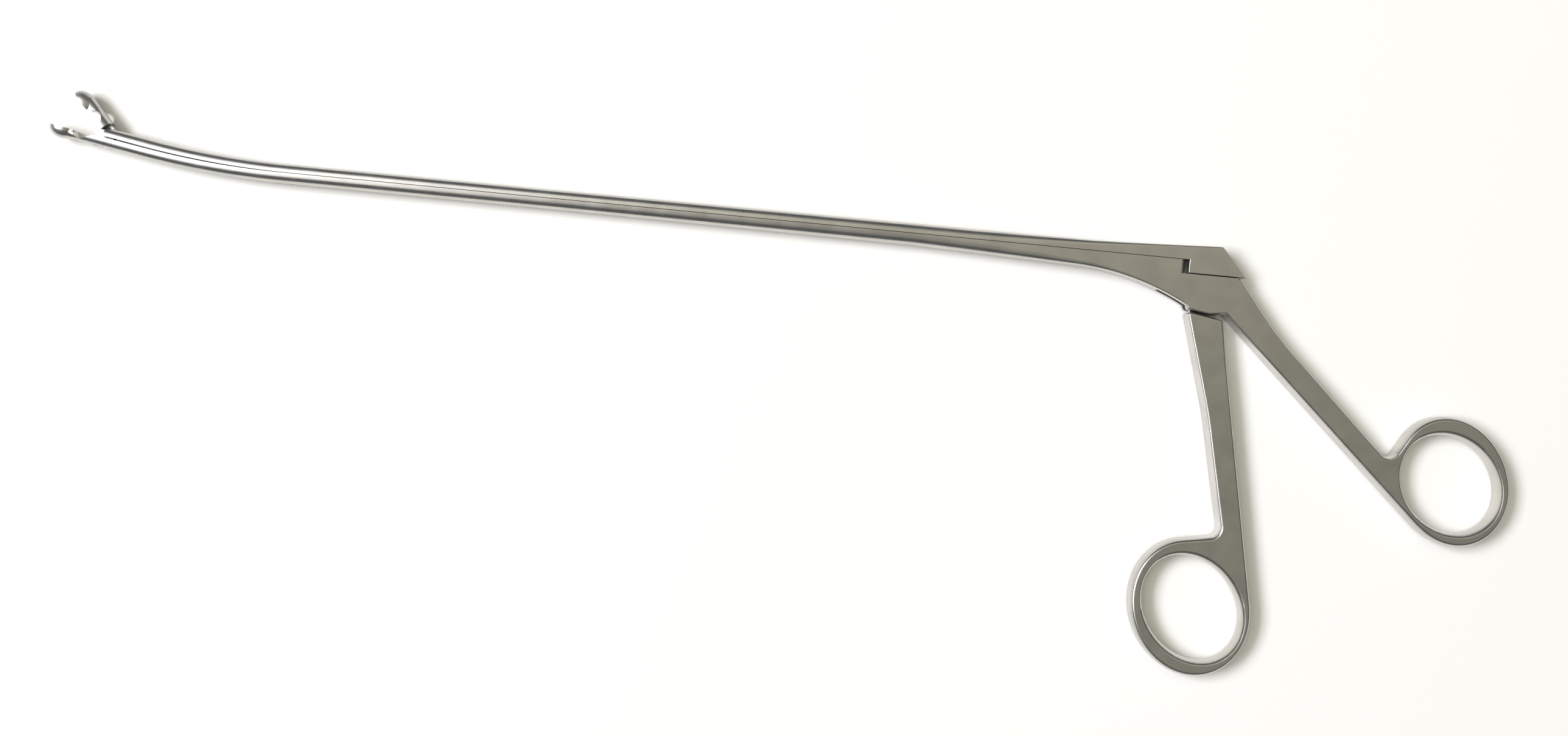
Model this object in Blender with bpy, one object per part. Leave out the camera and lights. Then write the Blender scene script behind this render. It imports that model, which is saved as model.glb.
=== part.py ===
"""Laryngeal cup forceps: a curved shaft split along its length, with scissor rings.

The fixed piece is the lower half of the shaft, the body, the thumb ring and the lower cup.
The finger lever swings on a pin in the body and pushes the upper half of the shaft forward,
and a pin in its forked front swings the upper cup down on to the lower one.

Axes: +X runs from the cups to the rings, +Y from the finger ring up to the shaft, +Z is the
thickness. The forceps lie on their side on Z = 0, with the jaw open. Lengths are in metres,
and outlines are measured from the lever's pivot.
"""

import math

import bmesh
import bpy
from mathutils import Matrix, Vector

MM = 0.001

# Place of the lever's pivot
PIVOT_X = 87.44 * MM
PIVOT_Y = 28.75 * MM

# Handle plates
PLATE = 5.0 * MM
PLATE_EDGE = 0.45 * MM
FILLET = 2.2 * MM
JOIN_TURN = math.radians(94)

# Thumb ring: an oval hole, and an outer oval turned against it
THUMB_CENTRE = (54.2 * MM, -32.95 * MM)
THUMB_HOLE = (11.5 * MM, 9.75 * MM)
THUMB_OUTER = (13.65 * MM, 11.35 * MM)
THUMB_TILTS = (math.radians(-37), math.radians(-65))

# Finger ring
FINGER_CENTRE = (3.0 * MM, -63.8 * MM)
FINGER_HOLE = (12.2 * MM, 9.9 * MM)
FINGER_OUTER = (14.3 * MM, 12.3 * MM)
FINGER_TILTS = (math.radians(-48), math.radians(-70))

# Shaft, split lengthwise into two halves
SPLIT_HEIGHT = 7.35 * MM
SHAFT_RADIUS = 2.0 * MM
ROOT_RADIUS = 2.25 * MM
SLIM_LENGTH = 76.0 * MM
ROOT_START = 61.0 * MM
FLARE_START = 27.0 * MM
FLARE_DEPTH = 3.2 * MM
FLARE_RADIUS = 52.0 * MM
BEND_START = 192.0 * MM
BEND_RADIUS = 180.0 * MM
BEND_ANGLE = math.radians(9.5)
SLIDE_GAP = 0.12 * MM

# Body and thumb shank
STEP_AHEAD = 5.65 * MM
DECK_HEIGHT = 4.5 * MM
HEEL_AHEAD = 3.6 * MM
HEEL_DEPTH = 2.8 * MM
SOLE_DEPTH = 3.45 * MM
SOLE_BEHIND = 1.0 * MM
SOLE_RADIUS = 2.0 * MM
CROTCH_BEHIND = 4.4 * MM
CROTCH_DEPTH = 3.0 * MM
BACK_BEHIND = 6.5 * MM
KNEE_BEHIND = 15.0 * MM
KNEE_DEPTH = 6.2 * MM
KNEE_RADIUS = 50.0 * MM
SHANK_WIDTH = 4.5 * MM

# Block at the slider's rear end
BLOCK_AHEAD = 4.1 * MM
BLOCK_BEHIND = 7.57 * MM
BLOCK_TOP_BEHIND = 2.4 * MM
BLOCK_BOTTOM = 4.85 * MM
BLOCK_RISE = 3.35 * MM
BLOCK_EDGE = 0.5 * MM

# Lever and its travel
LEVER_TRAVEL = math.radians(12)
LEVER_ARM = 7.0 * MM
SHOULDER_AHEAD = 3.5 * MM
SHOULDER_DEPTH = 3.4 * MM
SHOULDER_BEHIND = 3.85 * MM
SHOULDER_DROP = 1.05 * MM
THROAT_BEHIND = 5.0 * MM
THROAT_DEPTH = 11.0 * MM
THROAT_RADIUS = 30.0 * MM
WAIST_BEHIND = 2.5 * MM
WAIST_DEPTH = 23.7 * MM
WAIST_RADIUS = 80.0 * MM
LEVER_WIDTH = 4.5 * MM
TONGUE = 1.9 * MM
TONGUE_TIP = 1.0 * MM
TONGUE_NECK = 0.7 * MM
TONGUE_ROOT = 2.7 * MM
SIDE_GAP = 0.1 * MM
TIP_GAP = 0.1 * MM
SLOT_REACH = 9.8 * MM
PIVOT_PIN = 1.5 * MM
PIN_GAP = 0.04 * MM
PIN_SET = 0.03 * MM

# Jaw, measured forwards from its hinge and up from the closing plane
JAW_DISTANCE = 7.0 * MM
JAW_DROP = 1.1 * MM
JAW_GAP = 0.12 * MM
CUP_CENTRE = 10.05 * MM
CUP_RADII = (2.45 * MM, 2.05 * MM, 2.0 * MM)
CUP_WALL = 0.38 * MM
NECK_START = 4.6 * MM
NECK_LENGTH = 2.4 * MM
NECK_HALF_WIDTH = 1.5 * MM
NECK_DEPTH = 1.9 * MM
RELIEF_START = 5.3 * MM
RELIEF_LENGTH = 2.2 * MM
RELIEF_DEPTH = 0.8 * MM
BASE_REAR = 2.7 * MM
TANG = 1.3 * MM
TANG_REAR = 0.8 * MM
EYE = 0.8 * MM
HINGE_PIN = 0.45 * MM
HINGE_PIN_REACH = 1.6 * MM
DRIVE_PIN = 0.4 * MM
DRIVE_PIN_REACH = 1.72 * MM
DRIVE_HEIGHT = 0.85 * MM
DRIVE_SLACK = 0.2 * MM
FORK_AHEAD = 2.2 * MM
FORK_LEAN = 0.24
FORK_REAR = 0.9 * MM
TANG_SLOT_REAR = 1.6 * MM
TANG_SLOT_FRONT = 2.6 * MM

# Guide keys that hold the two halves of the shaft together
KEY_PLACES = (38.0 * MM, 151.0 * MM)
KEY_LENGTH = 6.0 * MM
KEY_STEM = 0.45 * MM
KEY_HEAD = 0.95 * MM
KEY_NECK = 0.5 * MM
KEY_HEAD_DEPTH = 0.45 * MM
KEY_GAP = 0.12 * MM

MID = PLATE / 2
FAR = 40 * MM
TRAVEL = 2 * LEVER_ARM * math.sin(LEVER_TRAVEL / 2)
HINGE_DISTANCE = BEND_START + BEND_RADIUS * BEND_ANGLE + JAW_DISTANCE
BEND_STEPS = 6
FLARE_STEPS = 14
CORNER_STEPS = 7
RING_STEPS = 48
ARC_PITCH = math.radians(18)


# Scene

def clear_scene():
    """Removes every object and collection of the scene."""
    for item in list(bpy.data.objects):
        bpy.data.objects.remove(item, do_unlink=True)
    for group in list(bpy.data.collections):
        bpy.data.collections.remove(group)


def new_collection(name):
    """A collection linked to the scene."""
    group = bpy.data.collections.new(name)
    bpy.context.scene.collection.children.link(group)
    return group


def steel(item, colour, roughness):
    """Gives an object its own satin stainless steel."""
    finish = bpy.data.materials.new(f"{item.name} steel")
    finish.use_nodes = True
    shader = finish.node_tree.nodes["Principled BSDF"]
    shader.inputs["Base Color"].default_value = (*colour, 1.0)
    shader.inputs["Metallic"].default_value = 1.0
    shader.inputs["Roughness"].default_value = roughness
    item.data.materials.clear()
    item.data.materials.append(finish)


def add_mesh(name, builder, group):
    """An object from a bmesh, with its doubled points merged and its faces turned outwards."""
    bmesh.ops.remove_doubles(builder, verts=builder.verts, dist=1e-7)
    bmesh.ops.recalc_face_normals(builder, faces=builder.faces)
    mesh = bpy.data.meshes.new(name)
    builder.to_mesh(mesh)
    builder.free()
    item = bpy.data.objects.new(name, mesh)
    group.objects.link(item)
    return item


def combine(item, operation, tool):
    """Joins, cuts or intersects an object with a tool that stays as a hidden guide."""
    tool.hide_render = True
    tool.display_type = "WIRE"
    modifier = item.modifiers.new(f"{operation.lower()} {tool.name}", "BOOLEAN")
    modifier.operation = operation
    modifier.solver = "EXACT"
    modifier.object = tool


def place(item, origin, turn=0):
    """Sets a piece that is drawn about a joint at its place, in the middle of the thickness."""
    item.location = (PIVOT_X + origin[0], PIVOT_Y + origin[1], MID)
    item.rotation_euler.z = turn


# Outlines and solids

def arc_points(centre, radius, start, turn):
    """Points along an arc."""
    steps = max(3, round(abs(turn) / ARC_PITCH))
    angles = [start + turn * step / steps for step in range(steps + 1)]
    return [centre + Vector((math.cos(a), math.sin(a))) * radius for a in angles]


def rounded_outline(corners):
    """A closed outline whose corners, each a point and a radius, are replaced by tangent arcs."""
    outline = []
    for index, (corner, radius) in enumerate(corners):
        here = Vector(corner)
        if radius == 0:
            outline.append(here)
            continue
        before = (Vector(corners[index - 1][0]) - here).normalized()
        after = (Vector(corners[(index + 1) % len(corners)][0]) - here).normalized()
        half = before.angle(after) / 2
        centre = here + (before + after).normalized() * radius / math.sin(half)
        spoke = here + before * radius / math.tan(half) - centre
        turn = math.copysign(math.pi - 2 * half, -before.cross(after))
        outline += arc_points(centre, radius, math.atan2(spoke.y, spoke.x), turn)
    return outline


def plate(name, outlines, thickness, edge, group):
    """A flat plate with rounded edges, centred on z = 0: a filled 2D curve made a mesh.

    The first outline runs counterclockwise, and those of holes run clockwise.
    """
    data = bpy.data.curves.new(name, "CURVE")
    data.dimensions = "2D"
    data.fill_mode = "BOTH"
    data.extrude = thickness / 2 - edge
    data.bevel_depth = edge
    data.bevel_resolution = 1
    data.offset = -edge
    for outline in outlines:
        line = data.splines.new("POLY")
        line.points.add(len(outline) - 1)
        for point, (x, y) in zip(line.points, outline):
            point.co = (x, y, 0, 1)
        line.use_cyclic_u = True
    curve = bpy.data.objects.new(f"{name} curve", data)
    group.objects.link(curve)
    shapes = bpy.context.evaluated_depsgraph_get()
    builder = bmesh.new()
    builder.from_mesh(bpy.data.meshes.new_from_object(curve.evaluated_get(shapes)))
    bpy.data.objects.remove(curve, do_unlink=True)
    return add_mesh(name, builder, group)


def box(name, low, high, group):
    """A box between two corners."""
    builder = bmesh.new()
    size = Vector(high) - Vector(low)
    frame = Matrix.Translation((Vector(low) + Vector(high)) / 2) @ Matrix.Diagonal((*size, 1))
    bmesh.ops.create_cube(builder, size=1, matrix=frame)
    return add_mesh(name, builder, group)


def cylinder(name, centre, radius, length, group, segments=32):
    """A cylinder along Z, centred on z = 0."""
    builder = bmesh.new()
    bmesh.ops.create_cone(
        builder,
        cap_ends=True,
        segments=segments,
        radius1=radius,
        radius2=radius,
        depth=length,
        matrix=Matrix.Translation((*centre, 0)),
    )
    return add_mesh(name, builder, group)


def loft(name, rings, group):
    """A skin through rings of equal count, capped at both ends."""
    builder = bmesh.new()
    rows = [[builder.verts.new(point) for point in ring] for ring in rings]
    for first, second in zip(rows, rows[1:]):
        for index, corner in enumerate(first):
            after = (index + 1) % len(first)
            builder.faces.new((corner, first[after], second[after], second[index]))
    builder.faces.new(rows[0])
    builder.faces.new(rows[-1])
    return add_mesh(name, builder, group)


# Shaft

def half_section(width, height, corner):
    """Half a shaft, flat on its split line and rounded away from it, as (offset, z) pairs."""
    corner = min(corner, width, height)
    section = [(0, -width), (0, width)]
    quarter = [math.pi / 2 * step / CORNER_STEPS for step in range(CORNER_STEPS + 1)]
    for angle in quarter:
        offset = height - corner + corner * math.sin(angle)
        section.append((offset, width - corner + corner * math.cos(angle)))
    for angle in reversed(quarter):
        offset = height - corner + corner * math.sin(angle)
        section.append((offset, corner - width - corner * math.cos(angle)))
    return section


def split_line(distance):
    """The split line's point, upward normal and forward direction, ahead of the pivot."""
    angle = min(max((distance - BEND_START) / BEND_RADIUS, 0), BEND_ANGLE)
    beyond = distance - BEND_START - BEND_RADIUS * angle
    x = -BEND_START - BEND_RADIUS * math.sin(angle)
    y = SPLIT_HEIGHT + BEND_RADIUS * (1 - math.cos(angle))
    forward = Vector((-math.cos(angle), math.sin(angle)))
    return Vector((x, y)) + forward * beyond, Vector((math.sin(angle), math.cos(angle))), forward


def blend(value, start, end):
    """Rises smoothly from 0 to 1 as a value goes from a start to an end."""
    share = min(max((value - start) / (end - start), 0), 1)
    return share * share * (3 - 2 * share)


def shaft_radius(distance):
    """Radius of the round shaft, slimmer towards the cups."""
    share = min(max((ROOT_START + SLIM_LENGTH - distance) / SLIM_LENGTH, 0), 1)
    return SHAFT_RADIUS + (ROOT_RADIUS - SHAFT_RADIUS) * share


def half_width(distance):
    """Half the shaft's thickness, which grows to the body's and shrinks at the lower neck."""
    radius = shaft_radius(distance)
    neck = blend(distance - HINGE_DISTANCE, NECK_START, NECK_START + NECK_LENGTH)
    body = blend(distance, ROOT_START, FLARE_START)
    return radius + (MID - radius) * body + (NECK_HALF_WIDTH - SHAFT_RADIUS) * neck


def lower_depth(distance):
    """Depth of the fixed half below the split line: a straight taper, then the flare's arc."""
    neck = blend(distance - HINGE_DISTANCE, NECK_START, NECK_START + NECK_LENGTH)
    if distance >= ROOT_START:
        return shaft_radius(distance) + (NECK_DEPTH - SHAFT_RADIUS) * neck
    slope = (FLARE_DEPTH - ROOT_RADIUS) / (ROOT_START - FLARE_START)
    run = max(FLARE_START - distance, 0)
    drop = FLARE_RADIUS - math.sqrt(FLARE_RADIUS**2 - run**2)
    return ROOT_RADIUS + slope * (ROOT_START - distance) + drop


def upper_height(distance):
    """Height of the slider above the split line, rising to its rear block."""
    rise = FLARE_START + BLOCK_TOP_BEHIND - TRAVEL
    share = min(max((FLARE_START - distance) / rise, 0), 1)
    radius = shaft_radius(distance)
    return radius + (BLOCK_RISE - radius) * share**1.4


def shaft_corner(distance, edge):
    """Radius of the shaft's long edges: fully round, then small on the body."""
    round_edge = half_width(distance)
    return round_edge + (edge - round_edge) * blend(distance, ROOT_START, STEP_AHEAD)


def stations(front, rear):
    """Distances at which the shaft is sectioned, closer together in the bend, flare and neck."""
    bend = BEND_RADIUS * BEND_ANGLE
    marks = [BEND_START + bend * step / BEND_STEPS for step in range(BEND_STEPS + 1)]
    marks += [HINGE_DISTANCE + NECK_START + NECK_LENGTH * step / 3 for step in range(4)]
    marks += [ROOT_START * step / FLARE_STEPS for step in range(FLARE_STEPS + 1)]
    marks.append(ROOT_START + SLIM_LENGTH)
    inner = [mark for mark in marks if rear + MM < mark < front - MM]
    return [front, *sorted(inner, reverse=True), rear]


def lower_half(front, rear, group):
    """The fixed half of the shaft, below the split line."""
    rings = []
    for distance in stations(front, rear):
        point, normal, forward = split_line(distance)
        corner = shaft_corner(distance, PLATE_EDGE)
        section = half_section(half_width(distance), lower_depth(distance), corner)
        rings.append([(*(point - normal * offset), z) for offset, z in section])
    return loft("fixed_shaft_handle", rings, group)


def upper_half(front, rear, group):
    """The sliding half, drawn closed on the fixed half; its front leans back."""
    rings = []
    for distance in stations(front, rear):
        point, normal, forward = split_line(distance)
        corner = shaft_corner(distance, BLOCK_EDGE)
        lean = FORK_LEAN if distance == front else 0
        up = normal - forward * lean
        height = upper_height(distance) - SLIDE_GAP
        section = half_section(half_width(distance), height, corner)
        base = point + normal * SLIDE_GAP
        rings.append([(*(base + up * offset), z) for offset, z in section])
    return loft("sliding_shaft", rings, group)


# Handle rings

class Ring:
    """An oval hole and the outer oval round it, which is turned against the hole."""

    def __init__(self, centre, hole, outer, tilts):
        self.centre = Vector(centre)
        self.hole = hole
        self.outer = outer
        self.hole_tilt, self.outer_tilt = tilts
        self.turn = Matrix.Rotation(self.outer_tilt, 2)

    def oval_point(self, radii, tilt, bearing):
        """The oval's point that lies in a bearing from the centre."""
        angle = bearing - tilt
        reach = 1 / math.hypot(math.cos(angle) / radii[0], math.sin(angle) / radii[1])
        return self.centre + Vector((math.cos(bearing), math.sin(bearing))) * reach

    def inner_point(self, bearing):
        """A point of the hole's edge."""
        return self.oval_point(self.hole, self.hole_tilt, bearing)

    def outer_point(self, bearing):
        """A point of the outer edge."""
        return self.oval_point(self.outer, self.outer_tilt, bearing)

    def outer_normal(self, bearing):
        """Outward normal of the outer edge."""
        local = self.turn.transposed() @ (self.outer_point(bearing) - self.centre)
        steep = Vector((local.x / self.outer[0] ** 2, local.y / self.outer[1] ** 2))
        return (self.turn @ steep).normalized()

    def tangent_bearing(self, point, side):
        """Bearing at which a straight edge from a point touches the outer oval."""
        local = self.turn.transposed() @ (point - self.centre)
        x = local.x / self.outer[0]
        y = local.y / self.outer[1]
        angle = math.atan2(y, x) + side * math.acos(1 / math.hypot(x, y))
        touch = Vector((self.outer[0] * math.cos(angle), self.outer[1] * math.sin(angle)))
        touch = self.turn @ touch
        return math.atan2(touch.y, touch.x)

    def hole_outline(self):
        """The hole's outline, clockwise."""
        bearings = [-2 * math.pi * step / RING_STEPS for step in range(RING_STEPS)]
        return [self.inner_point(bearing) for bearing in bearings]


THUMB_RING = Ring(THUMB_CENTRE, THUMB_HOLE, THUMB_OUTER, THUMB_TILTS)
FINGER_RING = Ring(FINGER_CENTRE, FINGER_HOLE, FINGER_OUTER, FINGER_TILTS)


def shank_end(ring, start, side, width):
    """The corners of a shank's end, from its straight edge round the ring to the fillet.

    The straight edge runs from the start to where it touches the outer oval, on one side of
    the ring (-1 or 1). The other edge runs beside it at the shank's width and meets the
    oval's tangent in a fillet. Between the two the outline follows the outer oval.
    """
    touch_bearing = ring.tangent_bearing(start, side)
    touch = ring.outer_point(touch_bearing)
    along = (touch - start).normalized()
    across = Vector((-along.y, along.x)) * side
    join_bearing = touch_bearing - side * JOIN_TURN
    join = ring.outer_point(join_bearing)
    normal = ring.outer_normal(join_bearing)
    tangent = Vector((-normal.y, normal.x))
    edge = start + across * width
    corner = edge + along * (join - edge).cross(tangent) / along.cross(tangent)
    around = side * (2 * math.pi - JOIN_TURN)
    bearings = [touch_bearing + around * step / RING_STEPS for step in range(RING_STEPS + 1)]
    return [*[(ring.outer_point(bearing), 0) for bearing in bearings], (corner, FILLET)]


# Jaw

def drive_geometry():
    """Drive pin's place from the hinge with the jaw closed, and the jaw's opening angle.

    The slider moves straight, so the pin's start and end lie on one circle round the hinge.
    """
    back = TRAVEL * math.cos(BEND_ANGLE)
    lift = TRAVEL * math.sin(BEND_ANGLE)
    height = JAW_DROP + DRIVE_HEIGHT
    ahead = (back**2 + lift**2 + 2 * height * lift) / (2 * back)
    opening = math.atan2(ahead, height) - math.atan2(ahead - back, height + lift)
    return ahead, height, opening


def hinge_origin():
    """Place of the jaw's hinge, in the fixed half below its closing plane."""
    point, normal, forward = split_line(HINGE_DISTANCE)
    return point - normal * JAW_DROP


DRIVE_AHEAD, DRIVE_UP, JAW_OPENING = drive_geometry()
HINGE = hinge_origin()


def egg(name, side, shrink, group):
    """An egg on the closing plane: half of it is the outside or the hollow of a cup."""
    builder = bmesh.new()
    radii = [radius - shrink for radius in CUP_RADII]
    centre = Matrix.Translation((-CUP_CENTRE, JAW_DROP + side * JAW_GAP / 2, 0))
    turn = Matrix.Rotation(math.radians(90), 4, "Y")
    frame = centre @ Matrix.Diagonal((*radii, 1)) @ turn
    bmesh.ops.create_uvsphere(builder, u_segments=32, v_segments=18, radius=1, matrix=frame)
    return add_mesh(name, builder, group)


def closing_cut(name, side, group):
    """Clears a cup's side of the closing plane, with a deeper relief behind the cup."""
    rim = JAW_DROP + side * JAW_GAP / 2
    floor = JAW_DROP + side * RELIEF_DEPTH
    beyond = JAW_DROP - side * FAR
    end = RELIEF_START + RELIEF_LENGTH
    outline = [
        (-RELIEF_START, beyond),
        (-RELIEF_START, rim),
        (-RELIEF_START - RELIEF_DEPTH / 2, floor),
        (RELIEF_DEPTH / 2 - end, floor),
        (-end, rim),
        (-FAR, rim),
        (-FAR, beyond),
    ]
    return plate(name, [outline], FAR, 0, group)


def upper_bar(group):
    """Half-round bar of the upper jaw, from its base to the cup, slimmer at the neck."""
    rings = []
    marks = [NECK_START + NECK_LENGTH * step / 3 for step in range(4)]
    for distance in (BASE_REAR, *marks, CUP_CENTRE):
        neck = blend(distance, NECK_START, NECK_START + NECK_LENGTH)
        width = SHAFT_RADIUS + (NECK_HALF_WIDTH - SHAFT_RADIUS) * neck
        height = SHAFT_RADIUS + (NECK_DEPTH - SHAFT_RADIUS) * neck - JAW_GAP / 2
        section = half_section(width, height, width)
        base = JAW_DROP + JAW_GAP / 2
        rings.append([(-distance, base + offset, z) for offset, z in section])
    return loft("upper_cup_jaw", rings, group)


def shape_cup(item, name, side, turn, guides):
    """Adds the outside of a cup to its bar, clears the closing plane and hollows the cup."""
    outside = egg(f"{name} outside", side, 0, guides)
    closing = closing_cut(f"{name} closing cut", side, guides)
    hollow = egg(f"{name} hollow", side, CUP_WALL, guides)
    for tool, operation in ((outside, "UNION"), (closing, "DIFFERENCE"), (hollow, "DIFFERENCE")):
        place(tool, HINGE, turn)
        combine(item, operation, tool)


# Pieces

def make_fixed_piece(parts, guides):
    """Lower half of the shaft, body, thumb ring and lower cup, forged as one piece."""
    item = lower_half(HINGE_DISTANCE + CUP_CENTRE, HEEL_AHEAD, parts)
    steel(item, (0.55, 0.53, 0.49), 0.32)
    crotch = Vector((CROTCH_BEHIND, -CROTCH_DEPTH))
    knee = Vector((KNEE_BEHIND, -KNEE_DEPTH))
    back = Vector((BACK_BEHIND, DECK_HEIGHT))
    root = HEEL_AHEAD + MM
    outline = rounded_outline([
        ((-root, DECK_HEIGHT + MM), 0),
        ((-root, 0), 0),
        ((-HEEL_AHEAD, -HEEL_DEPTH), PLATE_EDGE),
        ((SOLE_BEHIND, -SOLE_DEPTH), SOLE_RADIUS),
        (crotch, PLATE_EDGE),
        *shank_end(THUMB_RING, crotch, 1, SHANK_WIDTH),
        (knee, KNEE_RADIUS),
        (knee.lerp(back, 1.1), 0),
    ])
    outlines = [outline, THUMB_RING.hole_outline()]
    body = plate("body and thumb ring", outlines, PLATE, PLATE_EDGE, guides)
    notch = box("notch", (-STEP_AHEAD, DECK_HEIGHT, -PLATE), (FAR, FAR, PLATE), guides)
    slot_outline = [
        (-SLOT_REACH, -PLATE),
        (-SLOT_REACH, DECK_HEIGHT - PLATE / 2),
        (-STEP_AHEAD, DECK_HEIGHT + MM),
        (TONGUE_ROOT + MM, DECK_HEIGHT + MM),
        (TONGUE_ROOT + MM, -PLATE),
    ]
    slot = plate("lever slot", [slot_outline], TONGUE + 2 * SIDE_GAP, 0, guides)
    bore = cylinder("pivot bore", (0, 0), PIVOT_PIN + PIN_GAP, 2 * PLATE, guides)
    for tool in (item, body, notch, slot, bore):
        place(tool, (0, 0))
    combine(item, "UNION", body)
    for tool in (notch, slot, bore):
        combine(item, "DIFFERENCE", tool)
    for number, distance in enumerate(KEY_PLACES, 1):
        cut_pocket(item, number, distance, guides)
    half = TANG / 2 + SIDE_GAP
    tang_slot = box("tang slot", (-TANG_SLOT_FRONT, -FAR, -half), (TANG_SLOT_REAR, FAR, half), guides)
    hinge_bore = cylinder("hinge bore", (0, 0), HINGE_PIN + PIN_GAP, 2 * PLATE, guides, 24)
    for tool in (tang_slot, hinge_bore):
        place(tool, HINGE, -BEND_ANGLE)
        combine(item, "DIFFERENCE", tool)
    shape_cup(item, "lower cup", -1, -BEND_ANGLE, guides)


def cut_pocket(item, number, distance, guides):
    """Cuts the pocket of a guide key: a narrow slot, a wide undercut and an entry window."""
    front = -distance - KEY_LENGTH / 2 - KEY_GAP
    window = -distance + KEY_LENGTH / 2 + TRAVEL + KEY_GAP
    rear = window + KEY_LENGTH + 2 * KEY_GAP
    top = SPLIT_HEIGHT + MM
    ceiling = SPLIT_HEIGHT + SLIDE_GAP - KEY_NECK + KEY_GAP
    floor = SPLIT_HEIGHT + SLIDE_GAP - KEY_NECK - KEY_HEAD_DEPTH - KEY_GAP
    stem = KEY_STEM + KEY_GAP
    head = KEY_HEAD + KEY_GAP
    tools = (
        box(f"key slot {number}", (front, floor, -stem), (rear, top, stem), guides),
        box(f"key undercut {number}", (front, floor, -head), (rear, ceiling, head), guides),
        box(f"key window {number}", (window, floor, -head), (rear, top, head), guides),
    )
    for tool in tools:
        place(tool, (0, 0))
        combine(item, "DIFFERENCE", tool)


def make_slider(parts, guides):
    """Upper half of the shaft with its rear block, guide keys and forked front."""
    item = upper_half(HINGE_DISTANCE + FORK_AHEAD, TRAVEL - BLOCK_BEHIND, parts)
    steel(item, (0.56, 0.54, 0.50), 0.30)
    front = -BLOCK_AHEAD - TRAVEL
    rear = BLOCK_BEHIND - TRAVEL
    over = SPLIT_HEIGHT + MM
    outline = [(front, BLOCK_BOTTOM), (rear, BLOCK_BOTTOM), (rear, over), (front, over)]
    block = plate("slider block", [outline], PLATE, PLATE_EDGE, guides)
    top = Vector((BLOCK_TOP_BEHIND - TRAVEL, SPLIT_HEIGHT + BLOCK_RISE))
    foot = Vector((rear, BLOCK_BOTTOM))
    outline = [foot.lerp(top, -1), (FAR, FAR), foot.lerp(top, 2)]
    chamfer = plate("block chamfer", [outline], 2 * PLATE, 0, guides)
    reach = TONGUE_TIP + TIP_GAP
    half = TONGUE / 2 + SIDE_GAP
    middle = LEVER_ARM * math.sin(LEVER_TRAVEL / 2) - TRAVEL
    ceiling = LEVER_ARM + TONGUE_TIP + 2 * TIP_GAP
    low = (middle - reach, BLOCK_BOTTOM - MM, -half)
    mortise = box("tip mortise", low, (middle + reach, ceiling, half), guides)
    for tool in (item, block, chamfer, mortise):
        place(tool, (TRAVEL, 0))
    combine(item, "UNION", block)
    combine(item, "DIFFERENCE", chamfer)
    combine(item, "DIFFERENCE", mortise)
    for number, distance in enumerate(KEY_PLACES, 1):
        add_key(item, number, distance, guides)
    half = TANG / 2 + SIDE_GAP
    fork = box("fork slot", (-FAR, -FAR, -half), (FORK_REAR, FAR, half), guides)
    centre = (-DRIVE_AHEAD, DRIVE_UP)
    bore = cylinder("drive bore", centre, DRIVE_PIN + PIN_GAP, 2 * PLATE, guides, 24)
    for tool in (fork, bore):
        place(tool, HINGE + Vector((TRAVEL, 0)), -BEND_ANGLE)
        combine(item, "DIFFERENCE", tool)


def add_key(item, number, distance, guides):
    """Adds a guide key, a narrow stem with a wider head, under the slider."""
    front = -distance - KEY_LENGTH / 2
    rear = -distance + KEY_LENGTH / 2
    base = SPLIT_HEIGHT + SLIDE_GAP
    neck = base - KEY_NECK
    floor = neck - KEY_HEAD_DEPTH
    low = (front, floor + KEY_HEAD_DEPTH / 2, -KEY_STEM)
    stem = box(f"key stem {number}", low, (rear, base + KEY_NECK, KEY_STEM), guides)
    head = box(f"key head {number}", (front, floor, -KEY_HEAD), (rear, neck, KEY_HEAD), guides)
    for tool in (stem, head):
        place(tool, (TRAVEL, 0))
        combine(item, "UNION", tool)


def make_lever(parts, guides):
    """Finger ring and shank, with the thin tongue that drives the slider."""
    shoulder = Vector((SHOULDER_BEHIND, -SHOULDER_DEPTH - SHOULDER_DROP))
    throat = Vector((THROAT_BEHIND, -THROAT_DEPTH))
    outline = rounded_outline([
        ((-SHOULDER_AHEAD, -SHOULDER_DEPTH), PLATE_EDGE),
        ((WAIST_BEHIND, -WAIST_DEPTH), WAIST_RADIUS),
        *reversed(shank_end(FINGER_RING, throat, -1, LEVER_WIDTH)),
        (throat, THROAT_RADIUS),
        (shoulder, PLATE_EDGE),
    ])
    outlines = [outline, FINGER_RING.hole_outline()]
    item = plate("finger_lever", outlines, PLATE, PLATE_EDGE, parts)
    steel(item, (0.55, 0.53, 0.49), 0.32)
    tilt = LEVER_TRAVEL / 2
    along = Vector((math.sin(tilt), math.cos(tilt)))
    across = Vector((math.cos(tilt), -math.sin(tilt)))
    tip = along * LEVER_ARM
    neck = along * LEVER_ARM * 0.6
    root = TONGUE_ROOT
    outline = [
        tip - across * TONGUE_NECK,
        neck - across * TONGUE_NECK,
        (-root, 0),
        (-root, -SHOULDER_DEPTH - 2 * PLATE_EDGE),
        (-root / 2, -SHOULDER_DEPTH - root),
        (root, -SHOULDER_DEPTH - root),
        (root, 0),
        neck + across * TONGUE_NECK,
        tip + across * TONGUE_NECK,
    ]
    tongue = plate("tongue", [outline], TONGUE, 0, guides)
    nose = cylinder("tongue tip", tip, TONGUE_TIP, TONGUE, guides, 28)
    bore = cylinder("lever bore", (0, 0), PIVOT_PIN + PIN_GAP, 2 * PLATE, guides)
    for tool in (item, tongue, nose, bore):
        place(tool, (0, 0))
    combine(item, "UNION", tongue)
    combine(item, "UNION", nose)
    combine(item, "DIFFERENCE", bore)


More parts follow.
